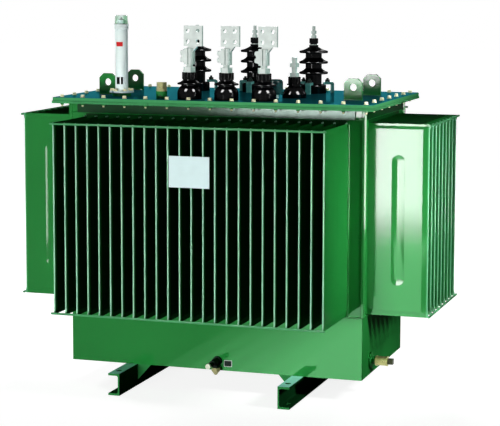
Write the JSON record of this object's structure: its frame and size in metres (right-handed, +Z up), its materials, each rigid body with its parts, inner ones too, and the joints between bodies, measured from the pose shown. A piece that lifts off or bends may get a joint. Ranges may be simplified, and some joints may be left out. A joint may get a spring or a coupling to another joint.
{
  "type": "power transformer",
  "caption": "Oil-filled power transformer: green corrugated fin tank on skids, bolted cover with black porcelain bushings, flag connectors and a filler pipe.",
  "frame": {"origin": "on the ground under the middle of the tank, between the two skids", "axes": "+X along the tank's length, low-voltage bushings on the -Y side, +Z up"},
  "size_m": [1.6454, 1.2584, 1.425],
  "materials": {
    "tank_paint": "gloss green paint",
    "skid_paint": "gloss green paint",
    "cover_paint": "gloss green paint",
    "gasket_rubber": "painted over rubber",
    "porcelain": "black glaze",
    "gland_plastic": "black",
    "tinned_metal": "tinned, pale",
    "clamp_metal": "zinc plated",
    "pipe_paint": "pale grey gloss",
    "sight_plastic": "red and white marks behind the windows",
    "dome_glass": "clear",
    "brass": "bright",
    "valve_metal": "gloss green paint"
  },
  "bodies": {
    "root": {"tank_floor": "tank_paint", "front_lower_wall": "tank_paint", "rear_lower_wall": "tank_paint", "left_lower_wall": "tank_paint", "right_lower_wall": "tank_paint", "front_fin_wall": "tank_paint", "rear_fin_wall": "tank_paint", "left_fin_wall": "tank_paint", "right_fin_wall": "tank_paint", "sampling_boss": "tank_paint", "left_skid": "skid_paint", "right_skid": "skid_paint", "front_top_angle": "cover_paint", "rear_top_angle": "cover_paint", "left_top_angle": "cover_paint", "right_top_angle": "cover_paint", "cover": "cover_paint", "front_left_lifting_lug": "cover_paint", "front_right_lifting_lug": "cover_paint", "rear_left_lifting_lug": "cover_paint", "rear_right_lifting_lug": "cover_paint", "thermometer_pocket": "cover_paint", "tap_changer_cap": "cover_paint", "cover_gasket": "gasket_rubber", "hv_bushing_1": "porcelain", "hv_bushing_2": "porcelain", "hv_bushing_3": "porcelain", "lv_bushing_1": "porcelain", "lv_bushing_2": "porcelain", "lv_bushing_3": "porcelain", "neutral_bushing": "porcelain", "gland_nuts": "gland_plastic", "hv_terminal_1": "tinned_metal", "hv_terminal_2": "tinned_metal", "hv_terminal_3": "tinned_metal", "lv_studs": "tinned_metal", "lv_flag_connector_1": "tinned_metal", "lv_flag_connector_2": "tinned_metal", "lv_flag_connector_3": "tinned_metal", "neutral_terminal": "tinned_metal", "hv_clamps": "clamp_metal", "filler_pipe": "pipe_paint", "filler_pipe_base": "pipe_paint", "filler_pipe_collar": "pipe_paint", "sight_tube": "sight_plastic", "sight_dome": "dome_glass", "thermometer_plug": "brass", "drain_cap": "brass", "sampling_valve": "brass", "drain_valve": "valve_metal"}
  },
  "joints": []
}
